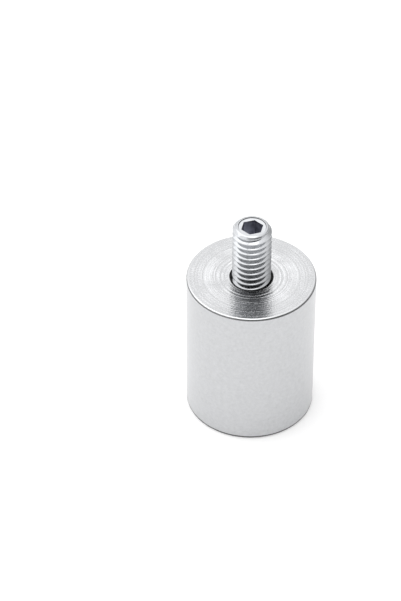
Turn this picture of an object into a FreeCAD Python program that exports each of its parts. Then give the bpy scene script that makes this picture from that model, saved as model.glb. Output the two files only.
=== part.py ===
"""Pot magnet with a threaded stud: the construction model, in millimetres, with +Z up.

The magnet stands on its contact face at z = 0, with its axis on the Z axis.
"""
import math
import os

import FreeCAD
import Part

Vector = FreeCAD.Vector

# Pot body
POT_DIAMETER = 20.0
POT_HEIGHT = 25.0
TOP_CHAMFER = 0.25
FOOT_CHAMFER = 0.2
POT_WALL = 2.0

# Magnet and the ring that keeps its field off the steel wall
MAGNET_THICKNESS = 6.0
MAGNET_CHAMFER = 0.3
RING_WALL = 1.4
GLUE_GAP = 0.05

# Threaded stud, a set screw with a flat point
THREAD_DIAMETER = 6.0
THREAD_PITCH = 1.0
STUD_LENGTH = 16.0
STUD_STAND_OUT = 10.0
STUD_END_CHAMFER = 0.55
POINT_CHAMFER = 1.0
# Direction, turned from +X towards +Y, in which a thread crest reaches the stud's end face
THREAD_TURN = -4.0
# Depth below the body's top face that the thread reaches, over the plain shank that nothing shows
THREAD_REACH = 0.6
SHANK_RELIEF = 0.05

# Thread profile of the metric standard, as shares of the pitch
CREST_SHARE = 0.125
DEPTH_SHARE = 0.6134
FLANK_ANGLE = 30.0
SPANS_PER_TURN = 4

# Hexagon socket in the stud's free end, in a shallow dish inside the crown's lip
SOCKET_ACROSS_FLATS = 3.0
SOCKET_DEPTH = 3.5
SOCKET_TURN = 17.0
CROWN_WIDTH = 0.29
LIP_WIDTH = 0.08
LIP_DEPTH = 0.14
DISH_ANGLE = 170.0
PIT_ANGLE = 120.0

# Blind hole for the stud
BORE_GAP = 0.05
MOUTH_WIDTH = 0.4
MOUTH_ANGLE = 90.0
DRILL_ALLOWANCE = 1.5
DRILL_POINT_ANGLE = 118.0
SEAT_GAP = 0.02

# Sizes that follow from the ones above
POT_RADIUS = POT_DIAMETER / 2
RECESS_RADIUS = POT_RADIUS - POT_WALL
RING_OUTER_RADIUS = RECESS_RADIUS - GLUE_GAP
RING_INNER_RADIUS = RING_OUTER_RADIUS - RING_WALL
MAGNET_RADIUS = RING_INNER_RADIUS - GLUE_GAP
THREAD_RADIUS = THREAD_DIAMETER / 2
SHANK_RADIUS = THREAD_RADIUS - SHANK_RELIEF
POINT_RADIUS = THREAD_RADIUS - POINT_CHAMFER
CROWN_RADIUS = THREAD_RADIUS - STUD_END_CHAMFER
BORE_RADIUS = THREAD_RADIUS + BORE_GAP
DRILL_RADIUS = (THREAD_DIAMETER - THREAD_PITCH) / 2
STUD_TOP = POT_HEIGHT + STUD_STAND_OUT
STUD_BOTTOM = STUD_TOP - STUD_LENGTH
POINT_TOP = STUD_BOTTOM + SHANK_RADIUS - POINT_RADIUS


def cone_height(radius, full_angle):
    """Height of a cone with the given base radius and full angle at its tip."""
    return radius / math.tan(math.radians(full_angle / 2))


def turned(outline):
    """Solid of revolution about the Z axis from a closed outline of (radius, height) corners."""
    points = [Vector(radius, 0, height) for radius, height in outline]
    face = Part.Face(Part.makePolygon(points + points[:1]))
    return face.revolve(Vector(0, 0, 0), Vector(0, 0, 1), 360)


def stud_hole():
    """The blind hole as a solid to cut: mouth, bore, drilled rest and the drill's point.

    The stud's chamfered point comes to rest on the edge where the bore steps down to the drill.
    """
    rest = STUD_BOTTOM + max(DRILL_RADIUS - POINT_RADIUS, 0)
    bore_floor = rest - SEAT_GAP
    drill_floor = bore_floor - DRILL_ALLOWANCE
    return turned([
        (0, drill_floor - cone_height(DRILL_RADIUS, DRILL_POINT_ANGLE)),
        (DRILL_RADIUS, drill_floor),
        (DRILL_RADIUS, bore_floor),
        (BORE_RADIUS, bore_floor),
        (BORE_RADIUS, POT_HEIGHT - cone_height(MOUTH_WIDTH - BORE_GAP, MOUTH_ANGLE)),
        (THREAD_RADIUS + MOUTH_WIDTH, POT_HEIGHT),
        (0, POT_HEIGHT),
    ])


def pot_body():
    """Turned steel pot with broken edges, a magnet recess in its foot and the stud's hole."""
    blank = turned([
        (0, 0),
        (POT_RADIUS - FOOT_CHAMFER, 0),
        (POT_RADIUS, FOOT_CHAMFER),
        (POT_RADIUS, POT_HEIGHT - TOP_CHAMFER),
        (POT_RADIUS - TOP_CHAMFER, POT_HEIGHT),
        (0, POT_HEIGHT),
    ])
    recess = Part.makeCylinder(RECESS_RADIUS, MAGNET_THICKNESS + GLUE_GAP)
    return blank.cut(recess).cut(stud_hole())


def magnet_disc():
    """Disc magnet, flush with the pot's rim, with the edge at the contact face broken."""
    return turned([
        (0, 0),
        (MAGNET_RADIUS - MAGNET_CHAMFER, 0),
        (MAGNET_RADIUS, MAGNET_CHAMFER),
        (MAGNET_RADIUS, MAGNET_THICKNESS),
        (0, MAGNET_THICKNESS),
    ])


def spacer_ring():
    """Ring that fills the space between the magnet and the pot's wall."""
    ring = Part.makeCylinder(RING_OUTER_RADIUS, MAGNET_THICKNESS)
    return ring.cut(Part.makeCylinder(RING_INNER_RADIUS, MAGNET_THICKNESS))


def helix_edge(radius, start):
    """One right-hand turn of a helix that begins over the +X axis at the given height.

    Each span is the cubic arc of a circle, raised evenly along the axis by its share of the pitch.
    """
    step = 2 * math.pi / SPANS_PER_TURN
    rise = THREAD_PITCH / SPANS_PER_TURN
    reach = 4 / 3 * math.tan(step / 4) * radius
    joints, poles = [], []
    for index in range(SPANS_PER_TURN + 1):
        angle = step * index
        joint = Vector(radius * math.cos(angle), radius * math.sin(angle), start + rise * index)
        along = Vector(-reach * math.sin(angle), reach * math.cos(angle), rise / 3)
        joints.append(joint)
        poles += [joint - along, joint + along]
    poles = joints[:1] + poles[1:-1] + joints[-1:]
    multiplicities = [4] + [2] * (SPANS_PER_TURN - 1) + [4]
    curve = Part.BSplineCurve()
    curve.buildFromPolesMultsKnots(
        poles, multiplicities, list(range(SPANS_PER_TURN + 1)), False, 3)
    return curve.toShape()


def threaded_rod(start, turns):
    """Right-hand threaded rod whose first groove is centred at the given height over the +X axis.

    Helical strips for the root, the lower flank, the crest and the upper flank follow each other
    turn by turn. A winding floor, a winding roof and a step in the XZ plane close the ends.
    """
    depth = DEPTH_SHARE * THREAD_PITCH
    root_radius = THREAD_RADIUS - depth
    half_groove = (1 - CREST_SHARE) * THREAD_PITCH / 2
    half_root = half_groove - depth * math.tan(math.radians(FLANK_ANGLE))
    profile = [
        (root_radius, -half_root),
        (root_radius, half_root),
        (THREAD_RADIUS, half_groove),
        (THREAD_RADIUS, THREAD_PITCH - half_groove),
        (root_radius, THREAD_PITCH - half_root),
    ]
    faces = []
    for turn in range(turns):
        level = start + turn * THREAD_PITCH
        edges = [helix_edge(radius, level + offset) for radius, offset in profile]
        faces += [Part.makeRuledSurface(low, high) for low, high in zip(edges, edges[1:])]
    for level in (start, start + turns * THREAD_PITCH):
        low = Vector(0, 0, level - half_root)
        high = Vector(0, 0, level - half_root + THREAD_PITCH)
        faces.append(Part.makeRuledSurface(Part.makeLine(low, high), helix_edge(root_radius, low.z)))
        corners = [Vector(radius, 0, level + offset) for radius, offset in profile]
        faces.append(Part.Face(Part.makePolygon([low] + corners + [high, low])))
    skin = Part.Shell(faces)
    skin.sewShape()
    rod = Part.Solid(skin)
    if rod.Volume < 0:
        rod.reverse()
    return rod


def hexagon_socket():
    """The stud's drive socket as a solid to cut: lip, dish, hexagon and drilled floor."""
    corner_radius = SOCKET_ACROSS_FLATS / math.sqrt(3)
    rim_radius = CROWN_RADIUS - CROWN_WIDTH
    dish_radius = rim_radius - LIP_WIDTH
    drill_radius = SOCKET_ACROSS_FLATS / 2
    floor = STUD_TOP - SOCKET_DEPTH
    corners = []
    for index in range(6):
        angle = math.radians(SOCKET_TURN + 60 * index)
        corners.append(Vector(corner_radius * math.cos(angle), corner_radius * math.sin(angle), floor))
    outline = Part.Face(Part.makePolygon(corners + corners[:1]))
    hexagon = outline.extrude(Vector(0, 0, SOCKET_DEPTH))
    dish = turned([
        (0, STUD_TOP - LIP_DEPTH - cone_height(dish_radius, DISH_ANGLE)),
        (dish_radius, STUD_TOP - LIP_DEPTH),
        (rim_radius, STUD_TOP),
        (0, STUD_TOP),
    ])
    pit = turned([
        (0, floor - cone_height(drill_radius, PIT_ANGLE)),
        (drill_radius, floor),
        (0, floor),
    ])
    return hexagon.fuse([dish, pit])


def threaded_stud():
    """Set screw: true thread where it shows, plain shank below, flat point and hexagon socket."""
    thread_floor = max(POT_HEIGHT - THREAD_REACH, POINT_TOP + THREAD_PITCH)
    turns = math.ceil((STUD_TOP - thread_floor) / THREAD_PITCH) + 3
    rod = threaded_rod(STUD_TOP - (turns - 0.5) * THREAD_PITCH, turns)
    rod.rotate(Vector(0, 0, 0), Vector(0, 0, 1), THREAD_TURN)
    free_end = turned([
        (0, thread_floor),
        (THREAD_RADIUS + THREAD_PITCH, thread_floor),
        (THREAD_RADIUS + THREAD_PITCH, STUD_TOP - STUD_END_CHAMFER - THREAD_PITCH),
        (CROWN_RADIUS, STUD_TOP),
        (0, STUD_TOP),
    ])
    shank = turned([
        (0, STUD_BOTTOM),
        (POINT_RADIUS, STUD_BOTTOM),
        (SHANK_RADIUS, POINT_TOP),
        (SHANK_RADIUS, thread_floor),
        (0, thread_floor),
    ])
    return rod.common(free_end).fuse(shank).cut(hexagon_socket())


def write_parts():
    """Write one STEP file for each piece into the parts folder."""
    os.makedirs("parts", exist_ok=True)
    for make in (pot_body, magnet_disc, spacer_ring, threaded_stud):
        make().exportStep(os.path.join("parts", make.__name__ + ".step"))


write_parts()
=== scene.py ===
"""Pot magnet with a threaded stud: its looks, its stage and its camera.

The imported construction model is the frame. The turned pot, the set screw, the magnet and its ring
are worked out as smooth surfaces over it, in millimetres, and put in place in metres.
"""
import math

import bpy
import numpy as np
from bpy.props import FloatProperty, FloatVectorProperty, PointerProperty
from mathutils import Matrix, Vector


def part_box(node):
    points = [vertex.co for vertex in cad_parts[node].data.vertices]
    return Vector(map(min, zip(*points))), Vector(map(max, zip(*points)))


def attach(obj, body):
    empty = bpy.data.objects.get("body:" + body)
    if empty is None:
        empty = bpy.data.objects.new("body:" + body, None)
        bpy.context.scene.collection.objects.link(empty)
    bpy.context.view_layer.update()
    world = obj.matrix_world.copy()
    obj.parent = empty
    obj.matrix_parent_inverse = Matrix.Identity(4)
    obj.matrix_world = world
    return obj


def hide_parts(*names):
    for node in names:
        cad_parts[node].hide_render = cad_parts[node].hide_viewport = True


bl_info = {
    "name": "Pot magnet",
    "version": (1, 0, 0),
    "blender": (4, 5, 0),
    "location": "View3D > Sidebar > Pot magnet",
    "description": "Builds a pot magnet with a threaded stud, its finishes and its studio",
    "category": "Object",
}

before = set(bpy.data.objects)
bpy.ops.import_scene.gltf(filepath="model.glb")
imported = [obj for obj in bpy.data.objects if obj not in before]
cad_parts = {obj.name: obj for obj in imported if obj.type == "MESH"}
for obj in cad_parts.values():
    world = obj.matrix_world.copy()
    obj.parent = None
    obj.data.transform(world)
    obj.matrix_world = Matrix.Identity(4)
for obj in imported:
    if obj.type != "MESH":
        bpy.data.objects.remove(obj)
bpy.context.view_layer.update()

MM = 0.001
TURN = 2 * math.pi

# Points that round to the same step of this size, in millimetres, become one
WELD = 2e-5

# Sizes of the construction model that its boxes don't give, in millimetres
RECESS_RADIUS = 8.0
RECESS_DEPTH = 6.05
MOUTH_RADIUS = 3.4
MOUTH_DEPTH = 0.35
BORE_RADIUS = 3.05
BORE_FLOOR = 19.48
DRILL_RADIUS = 2.5
DRILL_FLOOR = 17.98
DRILL_TIP = 16.48
GLUE_GAP = 0.05
THREAD_REACH = 0.6
SHANK_RADIUS = 2.95
POINT_RADIUS = 2.0
LIP_INSET = 0.29
DISH_INSET = 0.37
DISH_DEPTH = 0.14
# Width over depth of the socket's two cones, whose sides lean 85 and 60 degrees from the axis
DISH_SLOPE = math.tan(math.radians(85))
PIT_SLOPE = math.tan(math.radians(60))


def cad_size(node, axis):
    """Extent of a construction node along an axis, in metres."""
    low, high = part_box(node)
    return high[axis] - low[axis]


# Sizes that a user would change


class PotSizes(bpy.types.PropertyGroup):
    """Sizes of the turned steel pot."""

    diameter: FloatProperty(
        name="Diameter", description="Outside diameter of the pot", unit="LENGTH", precision=5,
        default=cad_size("pot_body", 0))
    height: FloatProperty(
        name="Height", description="Height of the pot", unit="LENGTH", precision=5,
        default=cad_size("pot_body", 2))
    top_edge: FloatProperty(
        name="Top edge", description="Radius of the rounded upper edge", unit="LENGTH",
        precision=5, default=0.00033)
    foot_edge: FloatProperty(
        name="Foot edge", description="Radius of the rounded lower edge", unit="LENGTH",
        precision=5, default=0.0003)
    ring_depth: FloatProperty(
        name="Turning depth", description="Depth of the turned rings on the top face",
        unit="LENGTH", precision=7, default=0.0000025)


class StudSizes(bpy.types.PropertyGroup):
    """Sizes of the set screw."""

    diameter: FloatProperty(
        name="Thread diameter", description="Outside diameter of the thread", unit="LENGTH",
        precision=5, default=0.006)
    pitch: FloatProperty(
        name="Pitch", description="Distance from one thread crest to the next", unit="LENGTH",
        precision=5, default=0.001)
    end_chamfer: FloatProperty(
        name="End chamfer", description="Width of the chamfer at the free end", unit="LENGTH",
        precision=5, default=0.00055)
    across_flats: FloatProperty(
        name="Key size", description="Width of the hexagon socket across its flats",
        unit="LENGTH", precision=5, default=0.003)
    socket_depth: FloatProperty(
        name="Socket depth", description="Depth of the hexagon socket", unit="LENGTH",
        precision=5, default=0.0035)


class Finishes(bpy.types.PropertyGroup):
    """Colours of the metals."""

    zinc: FloatVectorProperty(
        name="Zinc plating", description="Colour of the plated pot", subtype="COLOR",
        default=(0.52, 0.525, 0.535), min=0, max=1)
    stud: FloatVectorProperty(
        name="Stud plating", description="Colour of the plated set screw", subtype="COLOR",
        default=(0.475, 0.485, 0.5), min=0, max=1)
    nickel: FloatVectorProperty(
        name="Nickel", description="Colour of the plated magnet", subtype="COLOR",
        default=(0.66, 0.64, 0.6), min=0, max=1)
    brass: FloatVectorProperty(
        name="Brass", description="Colour of the ring round the magnet", subtype="COLOR",
        default=(0.78, 0.58, 0.27), min=0, max=1)


class StudioSettings(bpy.types.PropertyGroup):
    """Camera and light."""

    lens: FloatProperty(
        name="Lens", description="Focal length of the camera, in millimetres", default=161.9,
        min=1, unit="CAMERA")
    light: FloatProperty(
        name="Room light", description="Strength of the light from all round", default=1.0,
        min=0, soft_max=2, subtype="FACTOR")
    key: FloatProperty(
        name="Key light", description="Power of the soft light from the upper left",
        default=0.45, min=0, unit="POWER")


GROUPS = {
    "magnet_pot": PotSizes,
    "magnet_stud": StudSizes,
    "magnet_finish": Finishes,
    "magnet_studio": StudioSettings,
}


# Surfaces


def rounded_profile(corners, hold=0.015):
    """Profile through (radius, height, rounding, steps) corners, each rounded by a circular arc.

    The arc of radius q touches both sides at q / tan(half the corner angle) from the corner and is
    swept evenly from one side's normal to the other's. A point just before and just after each
    arc keeps the shading of the flats flat.
    """
    points = []
    for index, (x, z, rounding, steps) in enumerate(corners):
        here = np.array([x, z], float)
        if index in (0, len(corners) - 1) or rounding <= 0:
            points.append(here[None])
            continue
        before = np.array(corners[index - 1][:2], float) - here
        after = np.array(corners[index + 1][:2], float) - here
        before /= np.linalg.norm(before)
        after /= np.linalg.norm(after)
        half = math.acos(float(np.clip(before @ after, -1, 1))) / 2
        reach = rounding / math.tan(half)
        inward = (before + after) / np.linalg.norm(before + after)
        middle = here + inward * rounding / math.sin(half)
        start, end = here + before * reach - middle, here + after * reach - middle
        sweep = math.pi - 2 * half
        share = np.linspace(0, 1, steps + 1)[:, None]
        arc = np.sin((1 - share) * sweep) * start + np.sin(share * sweep) * end
        points += [(here + before * (reach + hold))[None], middle + arc / math.sin(sweep),
                   (here + after * (reach + hold))[None]]
    return np.vstack(points)


def round_axis(radius, height, angles):
    """Points (r cos a, r sin a, z), with r and z given once or at each angle a."""
    radius, height, angles = np.broadcast_arrays(radius, height, angles)
    return np.stack([radius * np.cos(angles), radius * np.sin(angles), height], axis=-1)


def turned_grid(profile, angles):
    """Surface of revolution: a profile's (r, z) at the angle a is (r cos a, r sin a, z)."""
    return round_axis(profile[:, :1], profile[:, 1:], angles)


def welded_mesh(name, grid, slots=None):
    """Mesh from a grid of points whose rows go round and whose columns follow the profile.

    Neighbouring points span two triangles. Points that fall together, at the seam, at a pole or on
    a clipped end, become one, and triangles without area are left out.
    """
    rows, columns = grid.shape[:2]
    flat = grid.reshape(-1, 3)
    keys = np.round(flat / WELD).astype(np.int64)
    _, first, where = np.unique(keys, axis=0, return_index=True, return_inverse=True)
    where = where.reshape(rows, columns)
    a, b = where[:-1, :-1], where[:-1, 1:]
    c, d = where[1:, 1:], where[1:, :-1]
    faces = np.stack([np.stack([a, b, c], -1), np.stack([a, c, d], -1)], axis=2).reshape(-1, 3)
    owner = np.repeat(np.arange(rows - 1), (columns - 1) * 2)
    keep = (faces != np.roll(faces, 1, axis=1)).all(axis=1)
    faces, owner = faces[keep], owner[keep]
    mesh = bpy.data.meshes.new(name)
    mesh.from_pydata(flat[first] * MM, [], faces)
    if slots is not None:
        mesh.polygons.foreach_set("material_index", np.asarray(slots, np.int32)[owner])
    mesh.polygons.foreach_set("use_smooth", np.ones(len(faces), bool))
    mesh.update()
    return mesh


def add_piece(name, mesh, node, materials):
    """Put a finished mesh in the scene as a piece that stands for a construction node."""
    piece = bpy.data.objects.new(name, mesh)
    bpy.context.scene.collection.objects.link(piece)
    for material in materials:
        mesh.materials.append(material)
    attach(piece, "root")
    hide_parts(node)


# Finishes


def calculated(tree, operation, *values):
    """Result of one arithmetic step in a node tree, on numbers or sockets."""
    node = tree.nodes.new("ShaderNodeMath")
    node.operation = operation
    for value, socket in zip(values, node.inputs):
        if isinstance(value, (int, float)):
            socket.default_value = value
        else:
            tree.links.new(value, socket)
    return node.outputs["Value"]


def tinted(colour, factor):
    """A colour made lighter or darker by a factor, with full cover."""
    return (*(min(1.0, channel * factor) for channel in colour), 1.0)


class Finish:
    """A metal material under construction, with short calls for its nodes."""

    def __init__(self, name):
        self.material = bpy.data.materials.new(name)
        self.material.use_nodes = True
        self.tree = self.material.node_tree
        self.shader = self.tree.nodes["Principled BSDF"]
        self.shader.inputs["Metallic"].default_value = 1.0
        self.place = self.tree.nodes.new("ShaderNodeTexCoord").outputs["Object"]

    def calc(self, operation, *values):
        """Result of one arithmetic step."""
        return calculated(self.tree, operation, *values)

    def plus(self, total, *others):
        """Sum of all the values."""
        for value in others:
            total = self.calc("ADD", total, value)
        return total

    def times(self, product, *others):
        """Product of all the values."""
        for value in others:
            product = self.calc("MULTIPLY", product, value)
        return product

    def limited(self, value, low=0.0, high=1.0):
        """A value held between two limits."""
        return self.calc("MINIMUM", self.calc("MAXIMUM", value, low), high)

    def parts(self):
        """Place along each of the three axes, in metres."""
        node = self.tree.nodes.new("ShaderNodeSeparateXYZ")
        self.tree.links.new(self.place, node.inputs["Vector"])
        return node.outputs

    def radius(self):
        """Distance from the upright axis, in metres."""
        x, y, _ = self.parts()
        return self.calc("SQRT", self.plus(self.times(x, x), self.times(y, y)))

    def scaled(self, scale):
        """Object place, stretched by a factor along each axis."""
        node = self.tree.nodes.new("ShaderNodeMapping")
        node.inputs["Scale"].default_value = scale
        self.tree.links.new(self.place, node.inputs["Vector"])
        return node.outputs["Vector"]

    def noise(self, vector, scale=1.0, detail=3.0, rough=0.5, dimensions="3D"):
        """Cloudy pattern between 0 and 1."""
        node = self.tree.nodes.new("ShaderNodeTexNoise")
        node.noise_dimensions = dimensions
        node.inputs["Scale"].default_value = scale
        node.inputs["Detail"].default_value = detail
        node.inputs["Roughness"].default_value = rough
        self.tree.links.new(vector, node.inputs["W" if dimensions == "1D" else "Vector"])
        return node.outputs["Fac"]

    def rings(self, radius, density, detail=2.0):
        """Bands round the axis, from a noise along the radius with so many cells a metre."""
        return self.noise(self.times(radius, density), detail=detail, dimensions="1D")

    def spread(self, value, low=0.0, high=1.0):
        """A pattern's values round its middle, from 0.3 to 0.7, spread between two limits."""
        node = self.tree.nodes.new("ShaderNodeMapRange")
        node.inputs["From Min"].default_value = 0.3
        node.inputs["From Max"].default_value = 0.7
        node.inputs["To Min"].default_value = low
        node.inputs["To Max"].default_value = high
        self.tree.links.new(value, node.inputs["Value"])
        return node.outputs["Result"]

    def climb(self, start, length, pattern, stray):
        """Share, from 0 to 1, of a length above a start height, blurred by a pattern.

        A negative length goes down from the start.
        """
        above = self.times(self.calc("SUBTRACT", self.parts()[2], start), 1 / length)
        return self.limited(self.plus(above, self.spread(pattern, -stray, stray)))

    def shade(self, factor, colour, first, last):
        """Colour that goes from one tint of itself to another by a factor from 0 to 1."""
        node = self.tree.nodes.new("ShaderNodeMix")
        node.data_type = "RGBA"
        node.inputs["A"].default_value = tinted(colour, first)
        node.inputs["B"].default_value = tinted(colour, last)
        self.tree.links.new(factor, node.inputs["Factor"])
        self.tree.links.new(node.outputs["Result"], self.shader.inputs["Base Color"])

    def rough(self, pattern, low, high):
        """Roughness between two limits by a pattern."""
        self.tree.links.new(self.spread(pattern, low, high), self.shader.inputs["Roughness"])

    def bump(self, height, depth):
        """Fine relief from a height socket between 0 and 1, with its depth in metres."""
        node = self.tree.nodes.new("ShaderNodeBump")
        node.inputs["Distance"].default_value = depth
        self.tree.links.new(height, node.inputs["Height"])
        self.tree.links.new(node.outputs["Normal"], self.shader.inputs["Normal"])


def zinc_side(colour):
    """Satin zinc on the turned side: fine rings round the pot under a faintly mottled film."""
    finish = Finish("satin_zinc")
    mottle = finish.noise(finish.place, scale=1900, detail=5, rough=0.75)
    rings = finish.noise(finish.scaled((300, 300, 9000)), detail=2)
    finish.shade(finish.spread(mottle), colour, 0.93, 1.1)
    finish.rough(mottle, 0.27, 0.36)
    finish.bump(finish.plus(finish.times(rings, 0.5), mottle), 0.000003)
    return finish.material


def zinc_face(colour):
    """Faced top: concentric turning marks, lightened in colour as a painted sheen on the rings.

    The marks are full near the hole and fade, over a length that ends near the rim, to a share of
    that. They sway a little, come in patches, and lie in a fine grain.
    """
    fade_end, fade_length, least = 0.0092, 0.003, 0.35
    finish = Finish("faced_zinc")
    radius = finish.radius()
    inner = finish.times(finish.calc("SUBTRACT", fade_end, radius), 1 / fade_length)
    inner = finish.limited(inner, low=least)
    sway = finish.noise(finish.place, scale=900, detail=2)
    radius = finish.plus(radius, finish.times(sway, 0.0001))
    fine = finish.rings(radius, 7000, detail=3)
    broad = finish.rings(radius, 3000)
    patches = finish.noise(finish.scaled((-350, 350, 350)), detail=2)
    grain = finish.noise(finish.place, scale=5000, detail=2)
    marks = finish.times(finish.spread(broad), finish.spread(patches), inner)
    # Real turning marks, with painted sheen: the marks lift the colour up to 1.6 times
    finish.shade(finish.plus(marks, finish.spread(grain, -0.2, 0.33)), colour, 0.91, 1.6)
    torn = finish.plus(
        finish.times(fine, 0.5), finish.times(grain, 0.5), finish.times(marks, 0.15),
        finish.times(inner, -0.1), -0.1)
    finish.rough(torn, 0.03, 0.7)
    relief = finish.plus(finish.times(fine, 0.8, inner), finish.times(grain, 0.5), marks)
    finish.bump(relief, 0.000032)
    return finish.material


def painted_shade_steel(colour):
    """Dull steel darkened as painted shade: in the pot's hole, along the foot's edge and on the
    stud's lip wall.
    """
    finish = Finish("painted_shade_steel")
    stain = finish.noise(finish.place, scale=1500)
    # Painted shade: the colour is tinted down to 0.12 to 0.3 of the plating's
    finish.shade(finish.spread(stain), colour, 0.12, 0.3)
    finish.rough(stain, 0.35, 0.55)
    return finish.material


def edge_highlight_and_shade(colour, height, rounding):
    """Rounded top edge: a painted highlight along its top and a painted dark reflection below it.
    """
    finish = Finish("edge_highlight_and_shade")
    nicks = finish.noise(finish.place, scale=1800)
    lower = finish.climb(height - rounding * 0.2, -rounding / 6, nicks, 0.3)
    # Painted highlight at 1.15 of the colour, going down to a painted dark reflection at 0.3
    finish.shade(lower, colour, 1.15, 0.3)
    finish.rough(nicks, 0.08, 0.14)
    finish.bump(nicks, 0.000004)
    return finish.material


def faced_crown(colour):
    """Turned end of the stud: a little brighter than the rolled thread, with fine rings."""
    finish = Finish("faced_crown")
    marks = finish.rings(finish.radius(), 15000)
    finish.shade(finish.spread(marks), colour, 1.2, 1.35)
    finish.rough(marks, 0.16, 0.24)
    finish.bump(marks, 0.000002)
    return finish.material


def socket_steel(colour):
    """Inside of the hexagon socket: bluish, and darkened as painted shade in the recess."""
    red, green, blue = colour
    finish = Finish("socket_steel")
    stain = finish.noise(finish.place, scale=1200)
    # Painted shade: the colour is tinted down to 0.62 to 1.02 of the plating's
    finish.shade(finish.spread(stain), (red, green, blue * 1.08), 0.62, 1.02)
    finish.rough(stain, 0.33, 0.46)
    return finish.material


def thread_groove(colour, height):
    """Under flanks and roots of the thread: painted shade that deepens towards the hole."""
    finish = Finish("painted_groove_shade")
    stain = finish.noise(finish.place, scale=1500)
    # Painted shade: 0.15 of the colour at the face, rising to 1.28 over 10 mm above it
    finish.shade(finish.climb(height, 0.01, stain, 0.15), colour, 0.15, 1.28)
    finish.rough(stain, 0.24, 0.38)
    return finish.material


def plated_stud(colour, height):
    """Bright plating on the set screw, with slight streaks along the thread, and painted shade that
    darkens it towards the hole.
    """
    finish = Finish("bright_plating")
    streaks = finish.noise(finish.scaled((1500, 1500, 6000)))
    # Painted shade: 0.72 of the colour at the face, rising to 1.06 over 8 mm above it
    finish.shade(finish.climb(height, 0.008, streaks, 0.3), colour, 0.72, 1.06)
    finish.rough(streaks, 0.09, 0.18)
    finish.bump(streaks, 0.000005)
    return finish.material


def nickel_face(colour):
    """Barrel-plated nickel: glossy, with a soft orange-peel film and a few dull patches."""
    finish = Finish("barrel_nickel")
    peel = finish.noise(finish.place, scale=1400, detail=2)
    patches = finish.noise(finish.place, scale=260)
    finish.shade(finish.spread(patches), colour, 0.95, 1.03)
    finish.rough(patches, 0.12, 0.24)
    finish.bump(peel, 0.000002)
    return finish.material


def turned_brass(colour):
    """Brass with fine turning marks round the axis."""
    finish = Finish("turned_brass")
    marks = finish.rings(finish.radius(), 12000)
    finish.shade(finish.spread(marks), colour, 0.93, 1.04)
    finish.rough(marks, 0.2, 0.32)
    finish.bump(marks, 0.000003)
    return finish.material


# Pieces


class MAGNET_OT_pot(bpy.types.Operator):
    """Turn the steel pot with its rounded edges, faced top, hole and magnet recess"""

    bl_idname = "magnet.pot"
    bl_label = "Pot"

    columns = 360
    face_rows = 120
    recess_edge = 0.1
    mouth_edge = 0.05
    # Heights of the bands, below the top and above the foot's edge, that a finish reaches
    face_band = 0.02
    foot_band = 0.12

    def execute(self, context):
        sizes, finish = context.scene.magnet_pot, context.scene.magnet_finish
        radius, height = sizes.diameter / 2 / MM, sizes.height / MM
        top, foot = sizes.top_edge / MM, sizes.foot_edge / MM
        outside = rounded_profile([
            (0, RECESS_DEPTH, 0, 0),
            (RECESS_RADIUS, RECESS_DEPTH, self.recess_edge, 3),
            (RECESS_RADIUS, 0, self.recess_edge, 4),
            (radius, 0, foot, 8),
            (radius, foot + self.foot_band, 0, 0),
            (radius, height, top, 10),
            (MOUTH_RADIUS, height, self.mouth_edge, 4),
            (BORE_RADIUS, height - MOUTH_DEPTH, self.mouth_edge, 3),
            (BORE_RADIUS, BORE_FLOOR, 0, 0),
            (DRILL_RADIUS, BORE_FLOOR, self.mouth_edge, 2),
            (DRILL_RADIUS, DRILL_FLOOR, 0, 0),
            (0, DRILL_TIP, 0, 0),
        ])
        flat = np.flatnonzero(np.abs(outside[:, 1] - height) < 1e-9)
        start, stop = flat[0], flat[-1]
        face = self.face(outside[start, 0], outside[stop, 0], height, sizes.ring_depth / MM)
        profile = np.vstack([outside[:start + 1], face, outside[stop:]])
        across, up = ((profile[:-1] + profile[1:]) / 2).T
        side, top_face, dull, edge = range(4)
        slots = np.full(len(across), side)
        slots[(up > height - self.face_band) & (across > MOUTH_RADIUS)] = top_face
        # The hole takes the dull finish, which is painted shade
        slots[(across < MOUTH_RADIUS) & (up > DRILL_TIP)] = dull
        # The top edge takes a painted highlight over a painted dark reflection
        slots[(across > radius - top) & (up > height - top)] = edge
        # The foot's edge takes it too, as a painted contact shadow
        slots[(across > radius - foot) & (up < foot + self.foot_band)] = dull
        grid = turned_grid(profile, np.linspace(0, TURN, self.columns + 1))
        mesh = welded_mesh("turned_pot", grid, slots=slots)
        add_piece("turned_pot", mesh, "pot_body",
                  [zinc_side(finish.zinc), zinc_face(finish.zinc), painted_shade_steel(finish.zinc),
                   edge_highlight_and_shade(finish.zinc, sizes.height, sizes.top_edge)])
        return {"FINISHED"}

    def face(self, outer, inner, height, depth):
        """Profile of the faced top: two sine waves over the radius, the second one weaker.

        Their sum is scaled to the depth and sunk by it, so that nothing stands above the top.
        """
        weaker = 0.6
        rings = np.linspace(outer, inner, self.face_rows)[1:-1]
        waves = (np.sin(rings * 14.1) + weaker * np.sin(rings * 23.7 + 1.0)) / (1 + weaker)
        return np.stack([rings, height - depth + depth * waves], axis=1)


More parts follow.
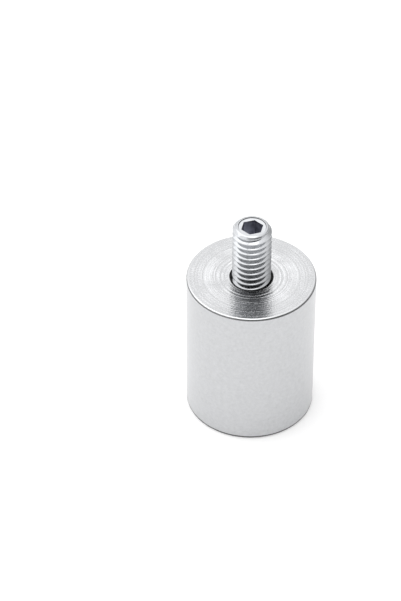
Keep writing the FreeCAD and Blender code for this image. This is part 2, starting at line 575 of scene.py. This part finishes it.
def thread_profile(pitch, crest_radius):
    """One pitch of the metric profile as offsets along the axis and radii.

    From the middle of a crest upwards: half the narrow crest with its softened corner, a straight
    flank at 30 degrees to the plane across the axis, a rounded root, and the same back out. A
    further point on the first flank is where the painted groove shade begins, towards the root.
    """
    steps = 4
    slope = math.tan(math.radians(30))
    depth = 0.6134 * pitch
    half_crest = pitch / 16
    half_root = pitch / 2 - half_crest - depth * slope
    root = crest_radius - depth
    # Height above the root up to which the flank takes the painted groove shade
    dull = 0.4 * depth
    crest_edge, root_rounding = 0.03, 0.08
    curve = rounded_profile([
        (-pitch / 2, crest_radius, 0, 0),
        (-pitch / 2 + half_crest, crest_radius, crest_edge, steps),
        (-half_root - dull * slope, root + dull, 0, 0),
        (-half_root, root, root_rounding, steps),
        (half_root, root, root_rounding, steps),
        (pitch / 2 - half_crest, crest_radius, crest_edge, steps),
        (pitch / 2, crest_radius, 0, 0),
    ], hold=0.01)
    return curve[:-1, 0], curve[:-1, 1]


class MAGNET_OT_stud(bpy.types.Operator):
    """Cut the set screw: its thread, chamfered end, hexagon socket and flat point"""

    bl_idname = "magnet.stud"
    bl_label = "Stud"

    columns = 240
    socket_turn = math.radians(17)
    thread_turn = math.radians(-4)
    lip_rounding = 0.55
    # Painted groove shade covers rows that widen upwards by more than this, in millimetres
    least_widening = 0.001
    # It also covers rows that lie deeper than this share of the pitch
    shade_depth = 0.37
    # Rows of the free end, counted from its first: the faced crown's start, and the lip's wall
    crown_from = 6
    wall = slice(10, 16)

    def execute(self, context):
        sizes, finish = context.scene.magnet_stud, context.scene.magnet_finish
        low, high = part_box("threaded_stud")
        top, bottom = high.z / MM, low.z / MM
        radius, pitch = sizes.diameter / 2 / MM, sizes.pitch / MM
        crown = radius - sizes.end_chamfer / MM
        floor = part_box("pot_body")[1].z / MM - THREAD_REACH
        angles = self.socket_turn + np.linspace(0, TURN, self.columns + 1)
        shank = rounded_profile([
            (0, bottom, 0, 0),
            (POINT_RADIUS, bottom, 0.05, 3),
            (SHANK_RADIUS, bottom + SHANK_RADIUS - POINT_RADIUS, 0.1, 3),
            (SHANK_RADIUS, floor, 0, 0),
        ])
        thread, thread_shaded = self.thread(radius, pitch, crown, top, floor, angles)
        open_rows, deep_rows = self.socket(sizes, top, crown, angles)
        grid = np.concatenate([turned_grid(shank, angles), thread, open_rows, deep_rows])
        bright, inside, faced, groove, dark = range(5)
        slots = np.full(len(grid), bright)
        # Under flanks and roots take the painted groove shade
        slots[len(shank):len(shank) + len(thread)] = np.where(thread_shaded, groove, bright)
        free_end = slots[len(shank) + len(thread):]
        free_end[self.crown_from:] = faced
        # The lip's wall takes painted shade, a shadow line in the step
        free_end[self.wall] = dark
        # The socket takes bluish steel with painted shade
        free_end[len(open_rows) - 1:] = inside
        mesh = welded_mesh("set_screw", grid, slots=slots)
        face = context.scene.magnet_pot.height
        add_piece("set_screw", mesh, "threaded_stud",
                  [plated_stud(finish.stud, face), socket_steel(finish.stud),
                   faced_crown(finish.stud), thread_groove(finish.stud, face),
                   painted_shade_steel(finish.stud)])
        return {"FINISHED"}

    def thread(self, radius, pitch, crown, top, floor, angles):
        """Rows of points for the thread, and which rows are under flanks or roots.

        The height of a profile point at the angle a is its offset plus a's share of a turn times
        the pitch. The end's chamfer limits the radius to the crown's plus the depth below the top.
        Rows past either end gather on one circle there.
        """
        offsets, radii = thread_profile(pitch, radius)
        turns = int(math.ceil((top - floor) / pitch)) + 3
        start = top - (turns - 0.5) * pitch
        along = (start + pitch * np.arange(turns)[:, None] + offsets).ravel()
        lift = pitch * (angles - self.thread_turn) / TURN
        roof = top - self.lip_rounding * math.sin(TURN / 8) * math.tan(TURN / 16)
        height = np.clip(along[:, None] + lift, floor, roof)
        reach = np.minimum(np.tile(radii, turns)[:, None], crown + (top - height))
        reach = np.where(height <= floor, SHANK_RADIUS, reach)
        reach = np.where(height >= roof, crown + (top - roof), reach)
        widening = np.diff(np.append(radii, radii[0])) > self.least_widening
        deep = radii < radius - self.shade_depth * pitch
        return round_axis(reach, height, angles), np.tile(widening | deep, turns)

    def socket(self, sizes, top, crown, angles):
        """Rows of points for the lip, dish and hexagon edge, and for the hexagon's walls and floor.

        The hexagon's radius at an angle t from a corner is the inner radius over
        cos(t - 30 degrees), with t taken within one sixth of a turn. The dish is a shallow cone
        that ends on it, and the floor is drilled to a steeper cone just inside the walls. The
        end's chamfer and the axis only lead the lip's profile in and out, and are cut off.
        """
        soft, lead, pit = 0.02, 0.4, 0.97
        inner = sizes.across_flats / 2 / MM
        floor = top - sizes.socket_depth / MM
        dish_rim = crown - DISH_INSET
        lip = rounded_profile([
            (crown + lead, top - lead, 0, 0),
            (crown, top, self.lip_rounding, 6),
            (crown - LIP_INSET, top, soft, 3),
            (dish_rim, top - DISH_DEPTH, soft, 3),
            (0, top - DISH_DEPTH - dish_rim / DISH_SLOPE, 0, 0),
        ], hold=0.01)[2:-1]
        rim, edge = lip[-1]
        within = np.mod(angles - self.socket_turn, TURN / 6) - TURN / 12
        hexagon = inner / np.cos(within)
        mouth = edge - (rim - hexagon) / DISH_SLOPE

        def row(radius, height):
            return round_axis(radius, height, angles)

        dish = [row(rim + (hexagon + soft - rim) * share, edge + (mouth + soft / 4 - edge) * share)
                for share in (0.05, 0.5, 0.95, 1.0)]
        dish.append(row(hexagon + 0.3 * soft, mouth - 0.3 * soft))
        deep = [row(hexagon, mouth - soft)]
        deep += [row(hexagon, mouth + (floor - mouth) * share) for share in (0.05, 0.3, 0.6, 0.99)]
        deep.append(row(hexagon - soft, floor))
        deep += [row(inner * share, floor - inner * (pit - share) / PIT_SLOPE)
                 for share in (pit, 0.9, 0.5, 0.1, 0.0)]
        return np.concatenate([turned_grid(lip, angles), np.array(dish)]), np.array(deep)


class MAGNET_OT_magnet(bpy.types.Operator):
    """Make the disc magnet with its rounded, plated edge"""

    bl_idname = "magnet.disc"
    bl_label = "Magnet"

    columns = 256
    edge = 0.3

    def execute(self, context):
        low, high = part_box("magnet_disc")
        radius, thickness = (high.x - low.x) / 2 / MM, (high.z - low.z) / MM
        profile = rounded_profile([
            (0, 0, 0, 0),
            (radius, 0, self.edge, 10),
            (radius, thickness, self.edge, 6),
            (0, thickness, 0, 0),
        ])
        grid = turned_grid(profile, np.linspace(0, TURN, self.columns + 1))
        mesh = welded_mesh("plated_magnet", grid)
        add_piece("plated_magnet", mesh, "magnet_disc",
                  [nickel_face(context.scene.magnet_finish.nickel)])
        return {"FINISHED"}


class MAGNET_OT_ring(bpy.types.Operator):
    """Make the brass ring between the magnet and the pot's wall"""

    bl_idname = "magnet.ring"
    bl_label = "Ring"

    columns = 256
    edge = 0.08

    def execute(self, context):
        low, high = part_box("spacer_ring")
        outer, thickness = (high.x - low.x) / 2 / MM, (high.z - low.z) / MM
        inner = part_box("magnet_disc")[1].x / MM + GLUE_GAP
        middle = (inner + outer) / 2
        profile = rounded_profile([
            (middle, 0, 0, 0),
            (outer, 0, self.edge, 4),
            (outer, thickness, self.edge, 3),
            (inner, thickness, self.edge, 3),
            (inner, 0, self.edge, 4),
            (middle, 0, 0, 0),
        ])
        grid = turned_grid(profile, np.linspace(0, TURN, self.columns + 1))
        mesh = welded_mesh("brass_spacer", grid)
        add_piece("brass_spacer", mesh, "spacer_ring",
                  [turned_brass(context.scene.magnet_finish.brass)])
        return {"FINISHED"}


# Stage


class MAGNET_OT_stage(bpy.types.Operator):
    """Lay the floor, light the room and place the camera"""

    bl_idname = "magnet.stage"
    bl_label = "Studio"

    camera_place = (-0.00781, -0.3116, 0.2981)
    camera_tilt = math.radians(48.2515)
    key_place = (-0.35, 0.12, 0.5)
    key_target = (0, 0, 0.012)
    key_size = 0.5
    floor_size = 1.5
    floor_level = -0.00002
    open_turn = math.radians(18)
    seen_white = 1.1

    def execute(self, context):
        scene, studio = context.scene, context.scene.magnet_studio
        scene.view_settings.view_transform = "Standard"
        scene.cycles.max_bounces = 16
        scene.cycles.glossy_bounces = 12
        self.floor(scene)
        self.room(scene, studio.light)
        self.key_light(scene, studio.key)
        camera = bpy.data.objects.new("camera", bpy.data.cameras.new("camera"))
        camera.data.sensor_width = 36
        camera.data.lens = studio.lens
        camera.data.clip_start = 0.01
        camera.location = self.camera_place
        camera.rotation_euler = (self.camera_tilt, 0, 0)
        scene.collection.objects.link(camera)
        scene.camera = camera
        return {"FINISHED"}

    def floor(self, scene):
        """A wide pale floor with an even matte finish, seen through only from underneath."""
        size, level = self.floor_size, self.floor_level
        mesh = bpy.data.meshes.new("floor")
        mesh.from_pydata([(-size, -size, level), (size, -size, level), (size, size, level),
                          (-size, size, level)], [], [(0, 1, 2, 3)])
        floor = bpy.data.objects.new("floor", mesh)
        material = bpy.data.materials.new("pale_floor")
        material.use_nodes = True
        tree = material.node_tree
        shader = tree.nodes["Principled BSDF"]
        shader.inputs["Base Color"].default_value = (0.72, 0.72, 0.72, 1)
        shader.inputs["Roughness"].default_value = 0.9
        shader.inputs["Specular IOR Level"].default_value = 0.2
        shader.inputs["Emission Color"].default_value = (1, 1, 1, 1)
        shader.inputs["Emission Strength"].default_value = 0.35
        mix = tree.nodes.new("ShaderNodeMixShader")
        clear = tree.nodes.new("ShaderNodeBsdfTransparent")
        under = tree.nodes.new("ShaderNodeNewGeometry").outputs["Backfacing"]
        tree.links.new(under, mix.inputs["Fac"])
        tree.links.new(shader.outputs["BSDF"], mix.inputs[1])
        tree.links.new(clear.outputs["BSDF"], mix.inputs[2])
        tree.links.new(mix.outputs["Shader"], tree.nodes["Material Output"].inputs["Surface"])
        mesh.materials.append(material)
        scene.collection.objects.link(floor)

    def room(self, scene, light):
        """Light tent: brighter upwards and most overhead, and low on the left.

        It is dimmer low on the right and dark in a band on the open side, behind the camera. Each
        change is a smooth step in the sine of the elevation, or in how far the direction's level
        part points that way. What is seen straight is plain white.
        """
        world = bpy.data.worlds.new("room")
        world.use_nodes = True
        tree = world.node_tree

        def calc(operation, *values):
            return calculated(tree, operation, *values)

        def ramp(value, start, end, low, high):
            node = tree.nodes.new("ShaderNodeMapRange")
            node.interpolation_type = "SMOOTHSTEP"
            for name, number in (("From Min", start), ("From Max", end), ("To Min", low),
                                 ("To Max", high)):
                node.inputs[name].default_value = number
            tree.links.new(value, node.inputs["Value"])
            return node.outputs["Result"]

        parts = tree.nodes.new("ShaderNodeSeparateXYZ")
        direction = tree.nodes.new("ShaderNodeTexCoord").outputs["Generated"]
        tree.links.new(direction, parts.inputs["Vector"])
        x, y, z = parts.outputs
        level = calc("SUBTRACT", 1.0, calc("MULTIPLY", z, z))
        level = calc("SQRT", calc("MAXIMUM", level, 0.0001))
        to_right = calc("DIVIDE", x, level)
        to_back = calc("SUBTRACT", calc("MULTIPLY", y, math.cos(self.open_turn)),
                       calc("MULTIPLY", x, math.sin(self.open_turn)))
        to_back = calc("DIVIDE", to_back, level)
        band = calc("MULTIPLY", ramp(z, 0.34, 0.52, 0.0, 1.0), ramp(z, 0.72, 0.9, 0.86, 0.0))
        open_side = calc("MULTIPLY", ramp(to_back, -0.9, -0.4, 1.0, 0.0), band)
        right = calc("MULTIPLY", ramp(to_right, 0.0, 0.9, 0.0, 1.0), ramp(z, 0.5, 0.98, 0.5, 0.0))
        left = calc("MULTIPLY", ramp(to_right, -0.9, -0.2, 0.45, 0.0), ramp(z, 0.35, 0.6, 1.0, 0.0))
        sky = calc("ADD", ramp(z, 0.3, 0.75, 1.05, 1.5), ramp(z, 0.945, 0.985, 0.0, 1.3))
        sky = calc("MULTIPLY", sky, calc("ADD", 1.0, left))
        sky = calc("MULTIPLY", sky, calc("SUBTRACT", 1.0, open_side))
        sky = calc("MULTIPLY", sky, calc("SUBTRACT", 1.0, right))
        strength = calc("MULTIPLY", sky, light)
        seen = tree.nodes.new("ShaderNodeLightPath").outputs["Is Camera Ray"]
        mix = tree.nodes.new("ShaderNodeMix")
        tree.links.new(seen, mix.inputs["Factor"])
        tree.links.new(strength, mix.inputs["A"])
        mix.inputs["B"].default_value = self.seen_white
        background = tree.nodes["Background"]
        background.inputs["Color"].default_value = (1, 1, 1, 1)
        tree.links.new(mix.outputs["Result"], background.inputs["Strength"])
        scene.world = world

    def key_light(self, scene, power):
        """A square soft light that points at the magnet's middle."""
        light = bpy.data.lights.new("key", "AREA")
        light.size = self.key_size
        light.energy = power
        lamp = bpy.data.objects.new("key", light)
        lamp.location = self.key_place
        aim = np.array(self.key_target) - np.array(self.key_place)
        aim = aim / np.linalg.norm(aim)
        lamp.rotation_euler = (math.acos(-aim[2]), 0, math.atan2(-aim[0], aim[1]))
        scene.collection.objects.link(lamp)


class VIEW3D_PT_magnet(bpy.types.Panel):
    """Lists the pieces of the pot magnet and its sizes"""

    bl_label = "Pot magnet"
    bl_space_type = "VIEW_3D"
    bl_region_type = "UI"
    bl_category = "Pot magnet"

    def draw(self, context):
        for operator in OPERATORS:
            self.layout.operator(operator.bl_idname)
        for name, group in GROUPS.items():
            box = self.layout.box()
            for prop in group.__annotations__:
                box.prop(getattr(context.scene, name), prop)


OPERATORS = (MAGNET_OT_stage, MAGNET_OT_pot, MAGNET_OT_ring, MAGNET_OT_magnet, MAGNET_OT_stud)


def register():
    """Register the classes and hang the property groups on the scene."""
    for cls in (*GROUPS.values(), *OPERATORS, VIEW3D_PT_magnet):
        bpy.utils.register_class(cls)
    for name, group in GROUPS.items():
        setattr(bpy.types.Scene, name, PointerProperty(type=group))


def unregister():
    """Take the property groups and the classes away again."""
    for name in GROUPS:
        delattr(bpy.types.Scene, name)
    for cls in (VIEW3D_PT_magnet, *reversed(OPERATORS), *reversed(tuple(GROUPS.values()))):
        bpy.utils.unregister_class(cls)


def main():
    """Build everything, in order."""
    register()
    bpy.ops.magnet.stage()
    bpy.ops.magnet.pot()
    bpy.ops.magnet.ring()
    bpy.ops.magnet.disc()
    bpy.ops.magnet.stud()


if __name__ == "__main__":
    main()
